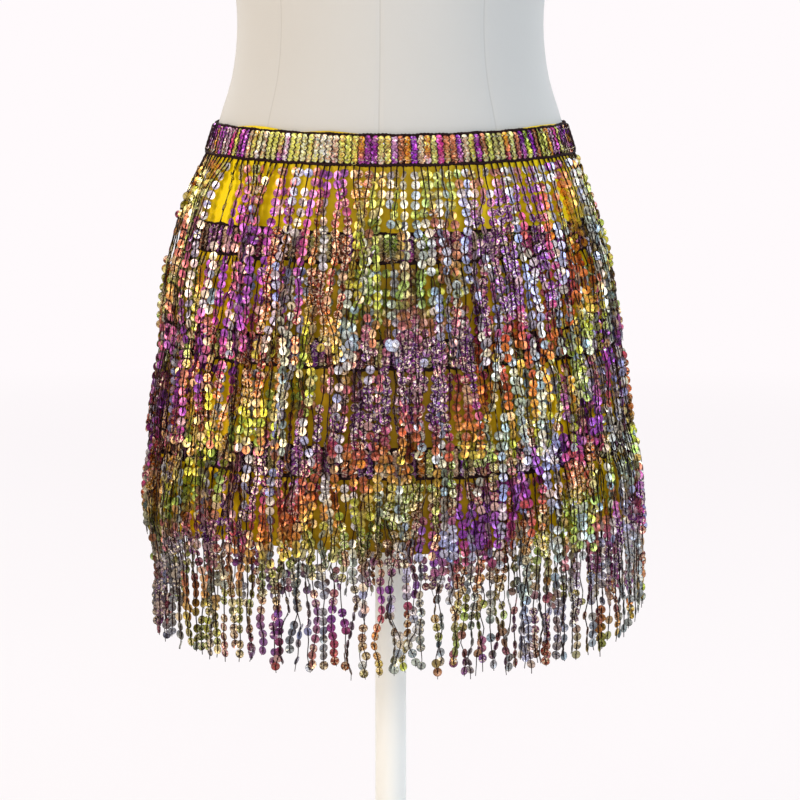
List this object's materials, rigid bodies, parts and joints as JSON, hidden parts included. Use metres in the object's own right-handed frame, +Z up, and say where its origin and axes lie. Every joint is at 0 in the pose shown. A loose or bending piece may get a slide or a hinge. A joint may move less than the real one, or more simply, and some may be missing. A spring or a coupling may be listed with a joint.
{
  "type": "belly dance hip scarf on a dress form",
  "caption": "Yellow satin hip scarf with tiers of hanging sequin fringe under black-edged sequin tapes, worn by a limbless canvas dress form on a pole and round base.",
  "frame": {"origin": "middle of the underside of the round base, on the floor", "axes": "+Z up, the wearer's front faces -Y, +X to the wearer's left"},
  "size_m": [0.3525, 0.3, 1.082],
  "materials": {
    "canvas": "matt cream canvas cover",
    "stand_paint": "white powder coat",
    "satin": "yellow satin",
    "sequins": "tape of small iridescent sequins with black braid edges",
    "fringe_sequins": "black thread strung with round iridescent sequins"
  },
  "bodies": {
    "root": {"form": "canvas", "pole": "stand_paint", "base": "stand_paint", "pole_socket": "stand_paint", "skirt_base": "satin", "waist_tape": "sequins", "second_tape": "sequins", "third_tape": "sequins", "fourth_tape": "sequins", "first_fringe": "fringe_sequins", "second_fringe": "fringe_sequins", "third_fringe": "fringe_sequins", "fourth_fringe": "fringe_sequins"}
  },
  "joints": []
}
